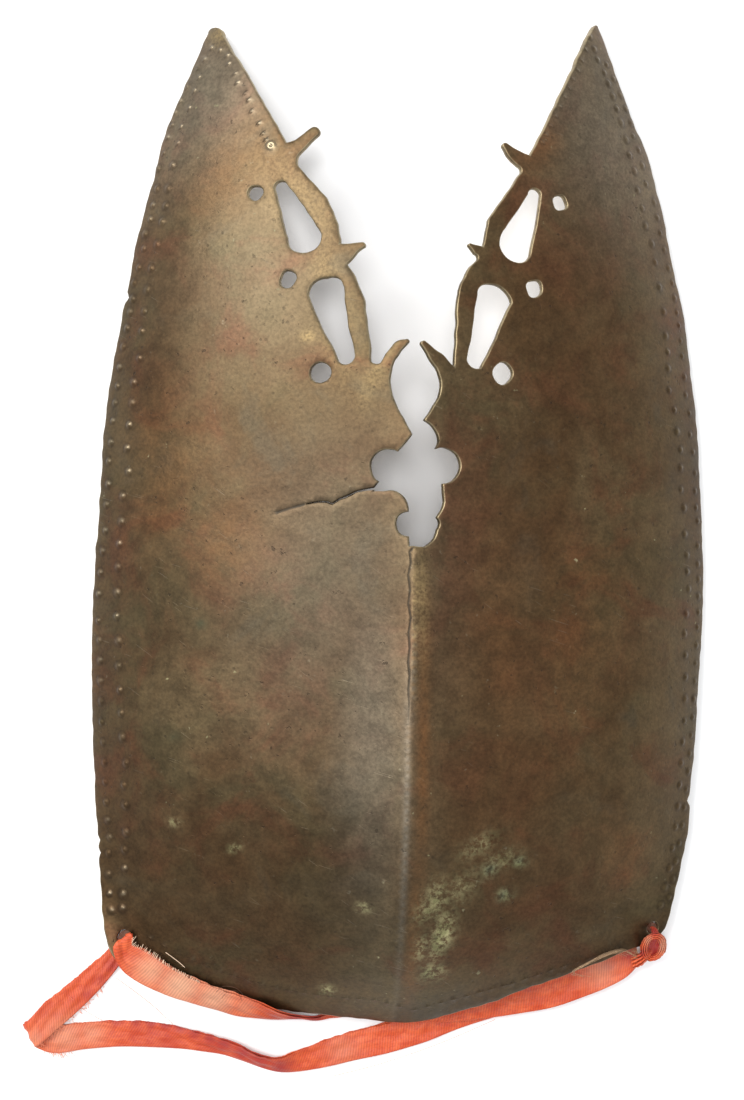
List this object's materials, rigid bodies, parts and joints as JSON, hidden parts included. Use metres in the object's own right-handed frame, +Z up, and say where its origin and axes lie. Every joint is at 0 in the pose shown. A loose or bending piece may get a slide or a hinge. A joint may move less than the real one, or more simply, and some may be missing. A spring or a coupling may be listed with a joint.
{
  "type": "forehead plate with ribbon tie",
  "caption": "Keeled, domed sheet-metal forehead plate with two pointed horns, openwork cut along the gap between them, a punched border and a satin ribbon tied at the lower corners.",
  "frame": {"origin": "under the middle of the plate and its ribbon together, on the surface the plate lies on", "axes": "+Y along the ridge towards the horn tips, +X across the plate, +Z up out of the convex face"},
  "size_m": [0.1838, 0.2864, 0.0435],
  "materials": {
    "patinated_copper_alloy": "dark brown patina, satin, worn bright on the ridge and the edges",
    "coral_satin_ribbon": "satin with one frayed edge"
  },
  "bodies": {
    "root": {"forehead_plate": "patinated_copper_alloy", "ribbon_front": "coral_satin_ribbon", "ribbon_rear": "coral_satin_ribbon", "ribbon_knot": "coral_satin_ribbon"}
  },
  "joints": []
}
